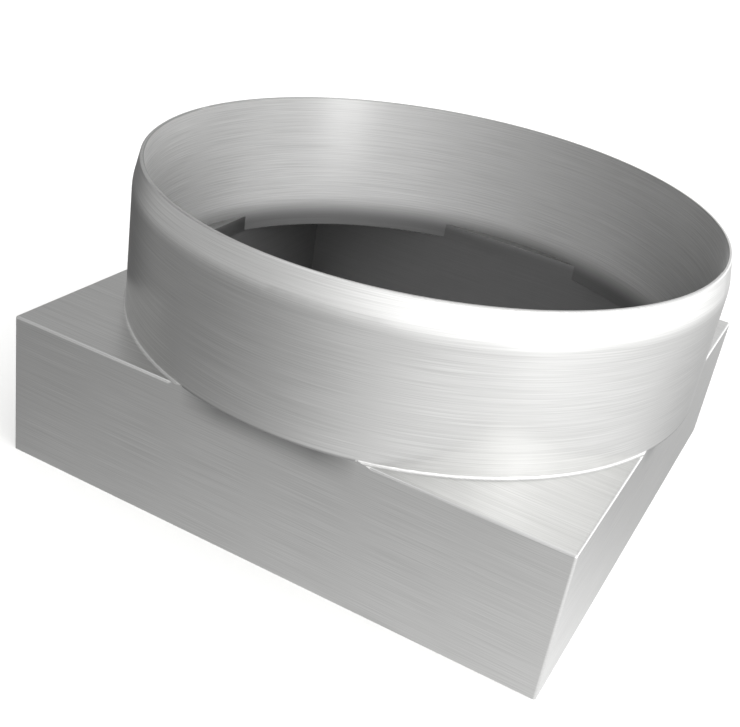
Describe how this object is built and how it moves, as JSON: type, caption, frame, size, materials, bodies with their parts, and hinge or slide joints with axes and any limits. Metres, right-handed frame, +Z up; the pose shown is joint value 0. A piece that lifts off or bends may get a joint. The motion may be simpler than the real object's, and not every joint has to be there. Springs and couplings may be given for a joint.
{
  "type": "pipe reducer",
  "caption": "Brushed steel pipe reducer that joins a square duct to a round one: a shallow square box, open below, carrying a slightly wider round collar with a tapered lead-in.",
  "frame": {"origin": "middle of the square mouth, on the plane that the mouth rests on", "axes": "+Z up the collar's axis, +X along one side of the square box"},
  "size_m": [0.1243, 0.1242, 0.063],
  "materials": {
    "brushed_stainless_steel": "brushed along the box's sides and around the collar"
  },
  "bodies": {
    "root": {"pipe_reducer": "brushed_stainless_steel"}
  },
  "joints": []
}
